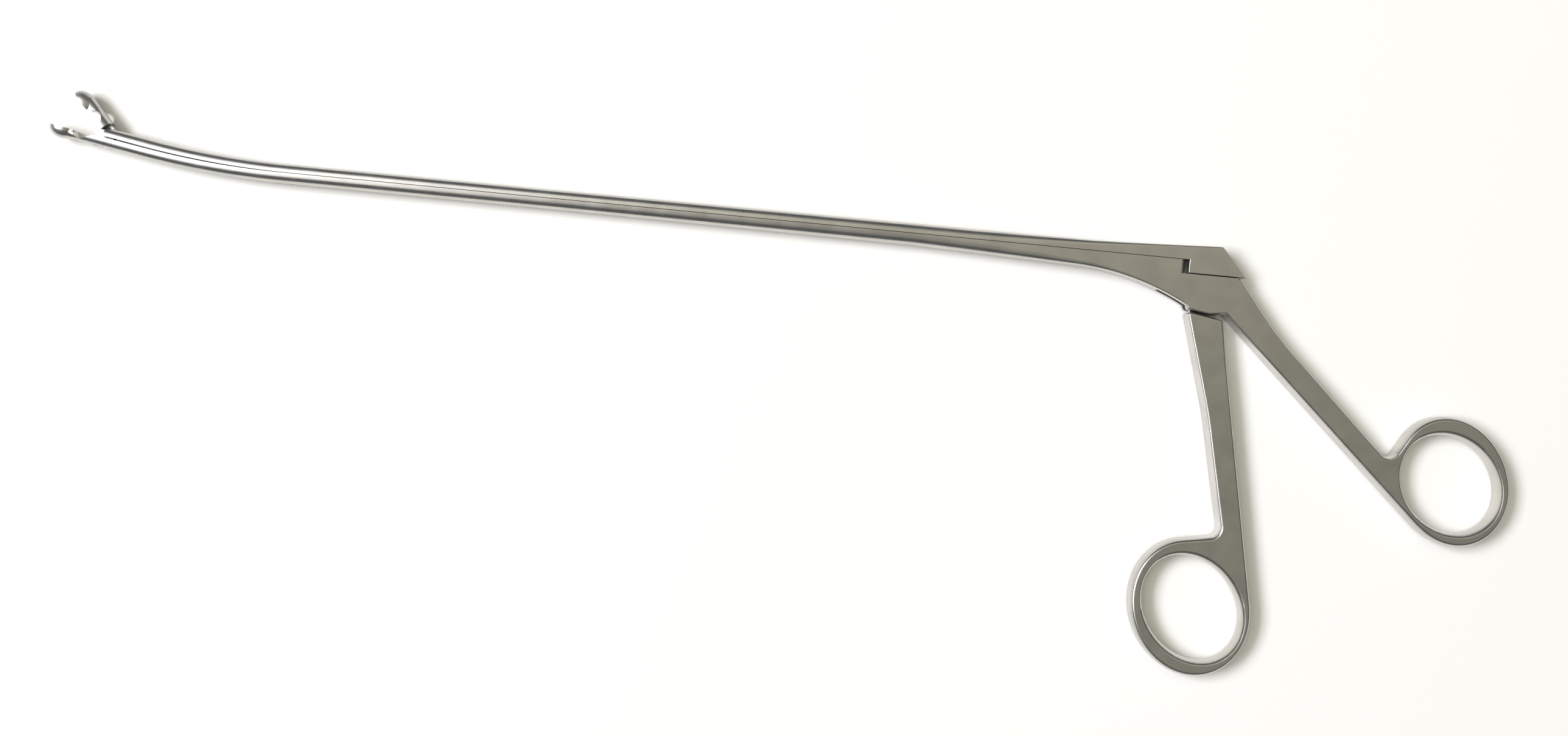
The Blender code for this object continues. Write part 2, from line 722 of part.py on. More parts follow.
def make_jaw(parts, guides):
    """Upper cup with its neck, and the thin tang between the hinge and the drive pin."""
    turn = -BEND_ANGLE - JAW_OPENING
    item = upper_bar(parts)
    steel(item, (0.54, 0.52, 0.48), 0.34)
    place(item, HINGE, turn)
    outline = rounded_outline([
        ((-BASE_REAR - EYE, JAW_DROP + EYE / 2), 0),
        ((-BASE_REAR - EYE, JAW_DROP + SHAFT_RADIUS - EYE / 2), 0),
        ((-BASE_REAR, JAW_DROP + SHAFT_RADIUS), EYE / 4),
        ((-DRIVE_AHEAD / 4, JAW_DROP + SHAFT_RADIUS), EYE / 2),
        ((TANG_REAR, 0), EYE),
        ((TANG_REAR, -EYE), EYE * 0.7),
        ((-EYE, -EYE), EYE * 0.9),
        ((-EYE - DRIVE_AHEAD, JAW_DROP + JAW_GAP), 0),
    ])
    tang = plate("tang", [outline], TANG, 0, guides)
    bore = cylinder("eye bore", (0, 0), HINGE_PIN + PIN_GAP, 2 * PLATE, guides, 24)
    outward = Vector((-DRIVE_AHEAD, DRIVE_UP)).normalized()
    across = Vector((outward.y, -outward.x)) * (DRIVE_PIN + PIN_GAP)
    reach = math.hypot(DRIVE_AHEAD, DRIVE_UP)
    far = outward * (reach + across.length + PIN_GAP)
    near = outward * (reach - across.length - DRIVE_SLACK)
    outline = rounded_outline([
        (far + across, DRIVE_PIN),
        (far - across, DRIVE_PIN),
        (near - across, DRIVE_PIN),
        (near + across, DRIVE_PIN),
    ])
    slot = plate("drive slot", [outline], PLATE, 0, guides)
    place(tang, HINGE, turn)
    combine(item, "UNION", tang)
    for tool in (bore, slot):
        place(tool, HINGE, turn)
        combine(item, "DIFFERENCE", tool)
    shape_cup(item, "upper cup", 1, turn, guides)


def make_pins(parts):
    """The three pins, each a hair below the surfaces round it."""
    pivot = cylinder("lever_pivot_pin", (0, 0), PIVOT_PIN, PLATE - 2 * PIN_SET, parts)
    place(pivot, (0, 0))
    hinge = cylinder("jaw_hinge_pin", (0, 0), HINGE_PIN, 2 * HINGE_PIN_REACH, parts, 24)
    place(hinge, HINGE, -BEND_ANGLE)
    drive = cylinder("jaw_drive_pin", (0, 0), DRIVE_PIN, 2 * DRIVE_PIN_REACH, parts, 24)
    turn = Matrix.Rotation(-BEND_ANGLE, 2)
    place(drive, HINGE + turn @ Vector((-DRIVE_AHEAD, DRIVE_UP)) + Vector((TRAVEL, 0)))
    for item in (pivot, hinge, drive):
        steel(item, (0.60, 0.58, 0.54), 0.28)


def main():
    clear_scene()
    parts = new_collection("Laryngeal cup forceps")
    guides = new_collection("Cutters")
    make_fixed_piece(parts, guides)
    make_slider(parts, guides)
    make_lever(parts, guides)
    make_jaw(parts, guides)
    make_pins(parts)


main()
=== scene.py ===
"""Looks of the laryngeal cup forceps: smooth ground steel, photographed from above on white."""

import math

import bmesh
import bpy
import numpy as np
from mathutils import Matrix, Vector
from mathutils.geometry import tessellate_polygon


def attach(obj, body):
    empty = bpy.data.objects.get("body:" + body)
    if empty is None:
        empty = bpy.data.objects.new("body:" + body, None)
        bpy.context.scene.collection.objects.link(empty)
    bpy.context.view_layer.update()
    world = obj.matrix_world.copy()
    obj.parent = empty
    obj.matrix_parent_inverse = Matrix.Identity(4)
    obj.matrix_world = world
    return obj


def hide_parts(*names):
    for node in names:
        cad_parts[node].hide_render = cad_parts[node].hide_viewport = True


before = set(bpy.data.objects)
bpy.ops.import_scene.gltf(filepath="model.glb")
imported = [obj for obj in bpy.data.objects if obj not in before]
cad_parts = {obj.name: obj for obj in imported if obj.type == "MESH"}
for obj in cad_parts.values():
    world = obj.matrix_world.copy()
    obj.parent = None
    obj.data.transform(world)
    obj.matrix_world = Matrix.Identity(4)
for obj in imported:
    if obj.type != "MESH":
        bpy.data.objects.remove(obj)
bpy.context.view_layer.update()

MM = 0.001

# Sizes in millimetres, measured from the lever's pivot
PIVOT = np.array([87.44, 28.75])
MID = 2.5
FAR = 40.0
PLATE = 5.0
PLATE_EDGE = 0.42
CORNER_EDGE = 0.12
FLAT_RIM = 0.06
CORNER_ROUND = 0.6
RIM_EDGE = (0.9, 1.5)
HOLE_EDGE = (1.3, 2.3)
BAND_SHARE = 0.45
RING_FADE = (6.0, 1.0)
SHAFT_FULLNESS = 0.8
FILLET = 2.2
JOIN_TURN = math.radians(94)

SPLIT_HEIGHT = 7.35
SHAFT_RADIUS = 2.0
ROOT_RADIUS = 2.25
SLIM_LENGTH = 76.0
ROOT_START = 61.0
FLARE_START = 27.0
FLARE_DEPTH = 3.2
FLARE_RADIUS = 52.0
BEND_START = 192.0
BEND_RADIUS = 180.0
BEND_ANGLE = math.radians(9.5)
SLIDE_GAP = 0.12

STEP_AHEAD = 5.65
DECK_HEIGHT = 4.5
HEEL_AHEAD = 3.6
HEEL_DEPTH = 2.8
SOLE_DEPTH = 3.45
SOLE_BEHIND = 1.0
SOLE_RADIUS = 2.0
CROTCH = np.array([4.4, -3.0])
BACK = np.array([6.5, 4.5])
KNEE = np.array([15.0, -6.2])
KNEE_RADIUS = 50.0
SHANK_WIDTH = 4.5

BLOCK_AHEAD = 4.1
BLOCK_BEHIND = 7.57
BLOCK_TOP_BEHIND = 2.4
BLOCK_BOTTOM = 4.68
BLOCK_RISE = 3.35
BLOCK_EDGE = 0.5
BLOCK_RISE_POWER = 1.4

LEVER_TRAVEL = math.radians(12)
LEVER_ARM = 7.0
SHOULDER_LEFT = np.array([-3.5, -3.2])
SHOULDER_RIGHT = np.array([3.85, -4.38])
THROAT = np.array([5.0, -11.0])
THROAT_RADIUS = 30.0
WAIST = np.array([2.5, -23.7])
WAIST_RADIUS = 80.0
LEVER_WIDTH = 4.5
TONGUE = 1.9
TONGUE_TIP = 1.0
TONGUE_NECK = 0.7
TONGUE_ROOT = 2.7
SIDE_GAP = 0.1
TIP_GAP = 0.1
SLOT_REACH = 9.8
PIVOT_PIN = 1.5
PIN_GAP = 0.04
PIN_FIT = 0.0005

JAW_DISTANCE = 7.0
JAW_DROP = 1.1
JAW_GAP = 0.12
CUP_CENTRE = 9.6
CUP_RADII = np.array([2.9, 2.25, 2.0])
CUP_WALL = 0.38
NECK_START = 4.6
NECK_LENGTH = 2.4
NECK_HALF_WIDTH = 1.5
NECK_DEPTH = 1.9
JAW_BACK = 2.35
RELIEF_START = 2.5
RELIEF_LENGTH = 5.2
RELIEF_LEAN = 1.25
LOWER_RELIEF = 1.35
UPPER_RELIEF = 1.75
BASE_REAR = 2.7
TANG = 1.3
TANG_REAR = 0.8
EYE = 0.8
HINGE_PIN = 0.45
DRIVE_PIN = 0.4
DRIVE_HEIGHT = 0.85
DRIVE_SLACK = 0.2
FORK_AHEAD = 2.2
FORK_LEAN = 0.24
FORK_REAR = 0.9
TANG_SLOT_REAR = 1.6
TANG_SLOT_FRONT = 2.6

KEY_PLACES = (38.0, 151.0)
KEY_LENGTH = 6.0
KEY_STEM = 0.45
KEY_HEAD = 0.95
KEY_NECK = 0.5
KEY_HEAD_DEPTH = 0.45
KEY_GAP = 0.12

# How finely the surfaces are divided
EDGE_STEPS = 7
SECTION_STEPS = 19
NECK_STEPS = 9
BEND_STEPS = 25
ROOT_STEPS = 49
STATION_GAP = 0.8
EGG_ROWS = 41
EGG_COLUMNS = 72
EGG_TIP = 0.004
MITER_LEAST = 0.3
SHARP_ANGLE = math.radians(28)
FACE_WEIGHT = 80

# Finish, lamps and camera
STEEL_COLOUR = (0.575, 0.562, 0.53)
SLIDER_COLOUR = (0.585, 0.572, 0.54)
CUP_COLOUR = (0.56, 0.55, 0.53)
# Painted shade: the near-black colour that the steel darkens towards in gaps, notches and contact
# lines, and how far its occlusion reaches
GAP_SHADE_COLOUR = (0.01, 0.014, 0.015, 1)
GAP_SHADE_REACH = 2.2
GRAIN_DEPTH = 0.006
SHEET_HALF = 3000.0
SHEET_COLOUR = (0.97, 0.945, 0.87, 1)
SHEET_GLOW = (0.08, 0.08, 0.07, 1)
ROOM_COLOUR = (0.88, 0.96, 1.0, 1)
ROOM_STRENGTH = 0.13
LENS = 33.54
CAMERA_PLACE = (2.48, 5.99, 305.0)
CAMERA_ROLL = math.radians(5.51)

TRAVEL = 2 * LEVER_ARM * math.sin(LEVER_TRAVEL / 2)
HINGE_DISTANCE = BEND_START + BEND_RADIUS * BEND_ANGLE + JAW_DISTANCE


# Outlines

def arc(centre, radius, start, turn):
    """Points of an arc, one for each five degrees: centre + radius (cos a, sin a)."""
    steps = max(6, math.ceil(abs(turn) / math.radians(5)))
    angles = start + turn * np.linspace(0, 1, steps + 1)
    return centre + radius * np.stack([np.cos(angles), np.sin(angles)], 1)


def rounded(corners):
    """A closed outline from corners, each a point and the radius of its tangent arc."""
    parts = []
    for index, (corner, radius) in enumerate(corners):
        here = np.asarray(corner, float)
        if radius == 0:
            parts.append(here[None])
            continue
        before = np.asarray(corners[index - 1][0]) - here
        after = np.asarray(corners[(index + 1) % len(corners)][0]) - here
        before = before / np.linalg.norm(before)
        after = after / np.linalg.norm(after)
        half = math.acos(np.clip(before @ after, -1, 1)) / 2
        inward = (before + after) / np.linalg.norm(before + after)
        centre = here + inward * radius / math.sin(half)
        spoke = here + before * radius / math.tan(half) - centre
        side = before[0] * after[1] - before[1] * after[0]
        turn = math.copysign(math.pi - 2 * half, -side)
        parts.append(arc(centre, radius, math.atan2(spoke[1], spoke[0]), turn))
    return np.concatenate(parts)


class Ring:
    """A finger ring: an oval hole, and an outer oval turned against it."""

    def __init__(self, centre, hole_shift, hole, outer, tilts):
        self.centre = np.array(centre)
        self.hole_shift = np.array(hole_shift)
        self.hole = hole
        self.outer = outer
        self.hole_tilt, self.outer_tilt = np.radians(tilts)

    def oval(self, radii, tilt, bearings):
        """The oval's points in some bearings: reach = 1 / hypot(cos b / long, sin b / short)."""
        bearings = np.asarray(bearings, float)
        angles = bearings - tilt
        reach = 1 / np.hypot(np.cos(angles) / radii[0], np.sin(angles) / radii[1])
        return self.centre + np.stack([np.cos(bearings), np.sin(bearings)], -1) * reach[..., None]

    def hole_outline(self):
        """The hole's outline, clockwise."""
        bearings = -np.linspace(0, 2 * np.pi, 161)[:-1]
        return self.oval(self.hole, self.hole_tilt, bearings) + self.hole_shift

    def edges(self, contour, far, inset_most, rise):
        """Inset and rise of each point's edge: softer on the ring, and slim on a slim band."""
        spoke = contour - self.centre
        bearings = np.arctan2(spoke[:, 1], spoke[:, 0])
        hole = np.linalg.norm(self.oval(self.hole, self.hole_tilt, bearings) - self.centre, axis=1)
        rim = np.linalg.norm(self.oval(self.outer, self.outer_tilt, bearings) - self.centre, axis=1)
        inset = inset_most * np.tanh(BAND_SHARE * (rim - hole) / inset_most)
        share = blend(np.linalg.norm(spoke, axis=1), rim + RING_FADE[0], rim + RING_FADE[1])
        return far + (np.stack([inset, np.full_like(inset, rise)]) - far) * share

    def turned(self, vector, sign):
        """A vector turned into or out of the outer oval's own axes."""
        c, s = math.cos(self.outer_tilt), math.sin(self.outer_tilt) * sign
        return np.array([c * vector[0] - s * vector[1], s * vector[0] + c * vector[1]])

    def shank(self, start, side, width):
        """Outline corners from a shank's straight edge round the outer oval to the fillet."""
        local = self.turned(start - self.centre, -1) / self.outer
        angle = math.atan2(local[1], local[0]) + side * math.acos(1 / math.hypot(*local))
        spoke = self.turned(np.array([math.cos(angle), math.sin(angle)]) * self.outer, 1)
        first = math.atan2(spoke[1], spoke[0])
        touch = self.centre + spoke
        along = (touch - start) / np.linalg.norm(touch - start)
        across = np.array([-along[1], along[0]]) * side
        join = self.oval(self.outer, self.outer_tilt, first - side * JOIN_TURN)
        steep = self.turned(join - self.centre, -1) / np.square(self.outer)
        normal = self.turned(steep, 1)
        tangent = np.array([-normal[1], normal[0]])
        edge = start + across * width
        gap = join - edge
        share = (gap[0] * tangent[1] - gap[1] * tangent[0])
        share /= along[0] * tangent[1] - along[1] * tangent[0]
        bearings = first + side * (2 * np.pi - JOIN_TURN) * np.linspace(0, 1, 121)
        around = self.oval(self.outer, self.outer_tilt, bearings)
        return [*[(point, 0) for point in around], (edge + along * share, FILLET)]


THUMB_RING = Ring((54.2, -32.95), (-0.45, -0.5), (11.0, 9.25), (13.65, 11.35), (-37, -65))
FINGER_RING = Ring((3.0, -63.8), (0.3, -0.1), (11.6, 9.3), (14.3, 12.3), (-48, -70))


# Meshes

def mesh_object(name, points, faces):
    """An object from points in millimetres and faces, turned outwards."""
    mesh = bpy.data.meshes.new(name)
    mesh.from_pydata((np.asarray(points) * MM).tolist(), [], faces)
    builder = bmesh.new()
    builder.from_mesh(mesh)
    bmesh.ops.remove_doubles(builder, verts=builder.verts, dist=1e-8)
    bmesh.ops.recalc_face_normals(builder, faces=builder.faces)
    builder.to_mesh(mesh)
    builder.free()
    item = bpy.data.objects.new(name, mesh)
    bpy.context.scene.collection.objects.link(item)
    return item


def grid_faces(rows, columns, first=0):
    """Quads between the rows of a grid whose columns close on themselves."""
    row, column = np.meshgrid(np.arange(rows - 1), np.arange(columns), indexing="ij")
    after = (column + 1) % columns
    quads = np.stack([
        row * columns + column,
        row * columns + after,
        (row + 1) * columns + after,
        (row + 1) * columns + column,
    ], -1).reshape(-1, 4) + first
    return quads.tolist()


def set_in_place(points, at, turn):
    """Turns points drawn about a joint and sets them at its place in the row frame."""
    c, s = math.cos(turn), math.sin(turn)
    x = points[..., 0] * c - points[..., 1] * s + PIVOT[0] + at[0]
    y = points[..., 0] * s + points[..., 1] * c + PIVOT[1] + at[1]
    return np.stack([x, y, points[..., 2] + MID], -1)


def loft(name, rings, at=(0, 0), turn=0.0):
    """A skin through rings of points, an array of ring, point and axis, with flat ends."""
    rows, columns = rings.shape[:2]
    points = set_in_place(rings, at, turn).reshape(-1, 3)
    faces = grid_faces(rows, columns)
    faces.append(list(range(columns)))
    faces.append(list(range((rows - 1) * columns, rows * columns)))
    return mesh_object(name, points, faces)


def plate(name, contours, thickness, edges=0.0, at=(0, 0), turn=0.0):
    """A flat plate with rounded edges, centred on z = 0.

    A contour's point is moved inwards by edge (1 - sin a) at the height
    thickness / 2 - rise (1 - cos a), for a from 0 to 90 degrees, and the same below.
    Each contour has one edge radius, or an inset and a rise for each point.
    """
    steps = 1 if np.isscalar(edges) and edges == 0 else EDGE_STEPS
    angles = np.linspace(0, np.pi / 2, steps)[:, None]
    edges = [edges] * len(contours) if np.isscalar(edges) else edges
    points, faces, tops, floors, first = [], [], [], [], 0
    for contour, edge in zip(contours, edges):
        contour = np.asarray(contour, float)
        edge = np.broadcast_to(edge, contour.T.shape)
        inset = edge[0] * (1 - np.sin(angles))
        height = thickness / 2 - edge[1] * (1 - np.cos(angles))
        if steps > 1:
            inset = np.concatenate([inset[:1] + FLAT_RIM, inset])
            height = np.concatenate([height[:1], height])
        inset = np.concatenate([inset, inset[::-1]])
        height = np.concatenate([height, -height[::-1]])
        ahead = np.roll(contour, -1, 0) - contour
        ahead /= np.linalg.norm(ahead, axis=1)[:, None]
        behind = np.roll(ahead, 1, 0)
        tangent = ahead + behind
        tangent /= np.linalg.norm(tangent, axis=1)[:, None]
        miter = 1 / np.clip((tangent * ahead).sum(1), MITER_LEAST, 1)
        normal = np.stack([tangent[:, 1], -tangent[:, 0]], 1) * miter[:, None]
        flat = contour[None] - normal[None] * inset[..., None]
        grid = np.concatenate([flat, height[..., None]], 2)
        rows, columns = grid.shape[:2]
        points.append(grid.reshape(-1, 3))
        faces += grid_faces(rows, columns, first)
        tops.append((grid[0], first))
        floors.append((grid[-1], first + (rows - 1) * columns))
        first += rows * columns
    for rims in (tops, floors):
        numbers = np.concatenate([start + np.arange(len(rim)) for rim, start in rims])
        shapes = [[Vector(point) for point in rim] for rim, start in rims]
        faces += numbers[np.array(tessellate_polygon(shapes))].tolist()
    return mesh_object(name, set_in_place(np.concatenate(points), at, turn), faces)


def box(name, low, high, at=(0, 0), turn=0.0):
    """A box between two corners."""
    outline = [(low[0], low[1]), (high[0], low[1]), (high[0], high[1]), (low[0], high[1])]
    return plate(name, [outline], 2 * high[2], 0.0, at, turn)


def cylinder(name, centre, radius, length, edge=0.0, at=(0, 0), turn=0.0):
    """A cylinder along Z, centred on z = 0."""
    outline = arc(np.asarray(centre, float), radius, 0, 2 * np.pi)[:-1]
    return plate(name, [outline], length, edge, at, turn)


def egg(name, side, shrink, at, turn):
    """An ellipsoid on the closing plane: (long cos u, deep sin u cos v, wide sin u sin v)."""
    u = np.linspace(EGG_TIP, np.pi - EGG_TIP, EGG_ROWS)[:, None]
    v = np.linspace(0, 2 * np.pi, EGG_COLUMNS + 1)[None, :-1]
    long, deep, wide = CUP_RADII - shrink
    grid = np.stack([
        long * np.cos(u) * np.ones_like(v) - CUP_CENTRE,
        deep * np.sin(u) * np.cos(v) + JAW_DROP + side * JAW_GAP / 2,
        wide * np.sin(u) * np.sin(v),
    ], -1)
    return loft(name, grid, at, turn)


# Shaft

def half_section(width, height, corner):
    """Half a shaft for each station, as offsets from its flat side and heights in Z."""
    corner = np.minimum(np.minimum(corner, width), height)
    angles = np.linspace(0, np.pi / 2, SECTION_STEPS)[None]
    full = corner[:, None] * np.sin(angles) ** SHAFT_FULLNESS
    rise = (height - corner)[:, None] + full
    reach = (width - corner)[:, None] + full[:, ::-1]
    flat = np.zeros((len(width), 2))
    offset = np.concatenate([flat, rise, rise[:, ::-1]], 1)
    z = np.concatenate([-width[:, None], width[:, None], reach, -reach[:, ::-1]], 1)
    return offset, z


def split_line(distance):
    """The split line's points, upward normals and forward directions, ahead of the pivot."""
    angle = np.clip((distance - BEND_START) / BEND_RADIUS, 0, BEND_ANGLE)
    beyond = distance - BEND_START - BEND_RADIUS * angle
    forward = np.stack([-np.cos(angle), np.sin(angle)], -1)
    normal = np.stack([np.sin(angle), np.cos(angle)], -1)
    x = -BEND_START - BEND_RADIUS * np.sin(angle)
    y = SPLIT_HEIGHT + BEND_RADIUS * (1 - np.cos(angle))
    return np.stack([x, y], -1) + forward * beyond[..., None], normal, forward


def blend(value, start, end):
    """Rises smoothly from 0 to 1 as a value goes from a start to an end."""
    share = np.clip((value - start) / (end - start), 0, 1)
    return share * share * (3 - 2 * share)


def shaft_radius(distance):
    """Radius of the round shaft, slimmer towards the cups."""
    share = np.clip((ROOT_START + SLIM_LENGTH - distance) / SLIM_LENGTH, 0, 1)
    return SHAFT_RADIUS + (ROOT_RADIUS - SHAFT_RADIUS) * share


def neck_share(distance):
    """How far a place beyond the hinge has narrowed to the neck."""
    return blend(distance, NECK_START, NECK_START + NECK_LENGTH)


def half_width(distance):
    """Half the shaft's thickness."""
    radius = shaft_radius(distance)
    slim = (NECK_HALF_WIDTH - SHAFT_RADIUS) * neck_share(distance - HINGE_DISTANCE)
    return radius + (MID - radius) * blend(distance, ROOT_START, FLARE_START) + slim


def lower_depth(distance):
    """Depth of the fixed half: a straight taper, then the flare's arc."""
    slim = (NECK_DEPTH - SHAFT_RADIUS) * neck_share(distance - HINGE_DISTANCE)
    slope = (FLARE_DEPTH - ROOT_RADIUS) / (ROOT_START - FLARE_START)
    run = np.clip(FLARE_START - distance, 0, None)
    drop = FLARE_RADIUS - np.sqrt(FLARE_RADIUS**2 - run**2)
    rear = ROOT_RADIUS + slope * (ROOT_START - distance) + drop
    return np.where(distance >= ROOT_START, shaft_radius(distance) + slim, rear)


def upper_height(distance):
    """Height of the slider above the split line, rising to its rear block."""
    rise = FLARE_START + BLOCK_TOP_BEHIND - TRAVEL
    share = np.clip((FLARE_START - distance) / rise, 0, 1)
    radius = shaft_radius(distance)
    return radius + (BLOCK_RISE - radius) * share**BLOCK_RISE_POWER


def stations(front, rear):
    """Distances of the shaft's sections, closer together in the neck, bend and flare."""
    marks = np.concatenate([
        HINGE_DISTANCE + NECK_START + NECK_LENGTH * np.linspace(0, 1, NECK_STEPS),
        BEND_START + BEND_RADIUS * BEND_ANGLE * np.linspace(0, 1, BEND_STEPS),
        [ROOT_START + SLIM_LENGTH],
        ROOT_START * np.linspace(1, 0, ROOT_STEPS),
    ])
    between = (marks > rear + STATION_GAP) & (marks < front - STATION_GAP)
    inner = np.unique(marks[between])[::-1]
    return np.concatenate([[front], inner, [rear]])


def shaft_half(name, front, rear, side, edge, height, gap, at, lean):
    """Half a shaft: each section stands on the split line, on one side of it.

    Point = line + normal side (offset + gap) - forward lean offset, and lean is only at the
    front end.
    """
    distance = stations(front, rear)
    point, normal, forward = split_line(distance)
    width = half_width(distance)
    corner = width + (edge - width) * blend(distance, ROOT_START, STEP_AHEAD)
    offset, z = half_section(width, height(distance) - gap, corner)
    up = normal * side
    up[0] = up[0] - forward[0] * lean
    base = point + normal * side * gap
    flat = base[:, None] + up[:, None] * offset[..., None]
    return loft(name, np.concatenate([flat, z[..., None]], 2), at)


def drive_geometry():
    """Drive pin's place from the hinge with the jaw closed, and the jaw's opening."""
    back = TRAVEL * math.cos(BEND_ANGLE)
    lift = TRAVEL * math.sin(BEND_ANGLE)
    height = JAW_DROP + DRIVE_HEIGHT
    ahead = (back**2 + lift**2 + 2 * height * lift) / (2 * back)
    opening = math.atan2(ahead, height) - math.atan2(ahead - back, height + lift)
    return ahead, height, opening


DRIVE_AHEAD, DRIVE_UP, JAW_OPENING = drive_geometry()
HINGE_LINE, HINGE_NORMAL, HINGE_FORWARD = split_line(np.array(HINGE_DISTANCE))
HINGE = HINGE_LINE - HINGE_NORMAL * JAW_DROP


def closing_cut(name, side, most, at, turn):
    """Clears a cup's side of the closing plane, with a hollowed neck behind the cup.

    The hollow's depth is most sin(pi share^RELIEF_LEAN) along its length.
    """
    rim = JAW_DROP + side * JAW_GAP / 2
    beyond = JAW_DROP - side * FAR
    share = np.linspace(0, 1, 41)
    depth = most * np.sin(np.pi * share**RELIEF_LEAN)
    relief = np.stack([-RELIEF_START - RELIEF_LENGTH * share, rim + side * depth], 1)
    ends = np.array([(-FAR, rim), (-FAR, beyond), (-RELIEF_START, beyond)])
    return plate(name, [np.concatenate([relief, ends])], FAR, 0.0, at, turn)


def cup_steps(side, relief, turn):
    """The steps that add a cup to its bar: outside, closing plane and hollow."""
    return [
        ("UNION", egg("cup outside", side, 0.0, HINGE, turn)),
        ("DIFFERENCE", closing_cut("closing cut", side, relief, HINGE, turn)),
        ("DIFFERENCE", egg("cup hollow", side, CUP_WALL, HINGE, turn)),
    ]


# Pieces

def shape(item, steps):
    """Applies joins and cuts, and shades the result with flat faces kept flat."""
    for operation, tool in steps:
        modifier = item.modifiers.new(operation, "BOOLEAN")
        modifier.operation = operation
        modifier.solver = "EXACT"
        modifier.object = tool
    shapes = bpy.context.evaluated_depsgraph_get()
    mesh = bpy.data.meshes.new_from_object(item.evaluated_get(shapes))
    item.modifiers.clear()
    item.data = mesh
    mesh.shade_smooth()
    mesh.set_sharp_from_angle(angle=SHARP_ANGLE)
    weighted = item.modifiers.new("Weighted normals", "WEIGHTED_NORMAL")
    weighted.keep_sharp = True
    weighted.weight = FACE_WEIGHT
    for operation, tool in steps:
        bpy.data.objects.remove(tool, do_unlink=True)
    return item


def lower_half(name):
    """The fixed half of the shaft, out to the middle of its cup."""
    front = HINGE_DISTANCE + CUP_CENTRE
    return shaft_half(name, front, HEEL_AHEAD, -1, PLATE_EDGE, lower_depth, 0.0, (0, 0), 0.0)


def upper_half(name):
    """The sliding half of the shaft, out to its leaning front."""
    front = HINGE_DISTANCE + FORK_AHEAD
    rear = TRAVEL - BLOCK_BEHIND
    at = (TRAVEL, 0)
    return shaft_half(
        name, front, rear, 1, BLOCK_EDGE, upper_height, SLIDE_GAP, at, FORK_LEAN
    )


def fixed_piece():
    """Lower half of the shaft, body, thumb ring and lower cup."""
    item = lower_half("fixed_skin")
    root = HEEL_AHEAD + 1
    outline = rounded([
        ((-root, DECK_HEIGHT + 1), 0),
        ((-root, 0), 0),
        ((-HEEL_AHEAD, -HEEL_DEPTH), CORNER_ROUND),
        ((SOLE_BEHIND, -SOLE_DEPTH), SOLE_RADIUS),
        (CROTCH, CORNER_ROUND),
        *THUMB_RING.shank(CROTCH, 1, SHANK_WIDTH),
        (KNEE, KNEE_RADIUS),
        (KNEE + (BACK - KNEE) * 1.1, 0),
    ])
    slot = [
        (-SLOT_REACH, -PLATE),
        (-SLOT_REACH, DECK_HEIGHT - PLATE / 2),
        (-STEP_AHEAD, DECK_HEIGHT + 1),
        (TONGUE_ROOT + 1, DECK_HEIGHT + 1),
        (TONGUE_ROOT + 1, -PLATE),
    ]
    hole = THUMB_RING.hole_outline()
    contours = [outline, hole]
    edges = [
        THUMB_RING.edges(outline, PLATE_EDGE, *RIM_EDGE),
        THUMB_RING.edges(hole, PLATE_EDGE, *HOLE_EDGE),
    ]
    steps = [
        ("UNION", plate("body", contours, PLATE, edges)),
        ("DIFFERENCE", box("notch", (-STEP_AHEAD, DECK_HEIGHT), (FAR, FAR, PLATE))),
        ("DIFFERENCE", plate("lever slot", [slot], TONGUE + 2 * SIDE_GAP)),
        ("DIFFERENCE", cylinder("pivot bore", (0, 0), PIVOT_PIN + PIN_GAP, 2 * PLATE)),
    ]
    for distance in KEY_PLACES:
        front = -distance - KEY_LENGTH / 2 - KEY_GAP
        window = -distance + KEY_LENGTH / 2 + TRAVEL + KEY_GAP
        rear = window + KEY_LENGTH + 2 * KEY_GAP
        top = SPLIT_HEIGHT + 1
        ceiling = SPLIT_HEIGHT + SLIDE_GAP - KEY_NECK + KEY_GAP
        floor = SPLIT_HEIGHT + SLIDE_GAP - KEY_NECK - KEY_HEAD_DEPTH - KEY_GAP
        stem = KEY_STEM + KEY_GAP
        head = KEY_HEAD + KEY_GAP
        steps += [
            ("DIFFERENCE", box("key slot", (front, floor), (rear, top, stem))),
            ("DIFFERENCE", box("key undercut", (front, floor), (rear, ceiling, head))),
            ("DIFFERENCE", box("key window", (window, floor), (rear, top, head))),
        ]
    half = TANG / 2 + SIDE_GAP
    low = (-TANG_SLOT_FRONT, -FAR)
    high = (TANG_SLOT_REAR, FAR, half)
    bore = HINGE_PIN + PIN_GAP
    steps += [
        ("DIFFERENCE", box("tang slot", low, high, HINGE, -BEND_ANGLE)),
        ("DIFFERENCE", cylinder("bore", (0, 0), bore, 2 * PLATE, 0.0, HINGE, -BEND_ANGLE)),
    ]
    return shape(item, steps + cup_steps(-1, LOWER_RELIEF, -BEND_ANGLE))


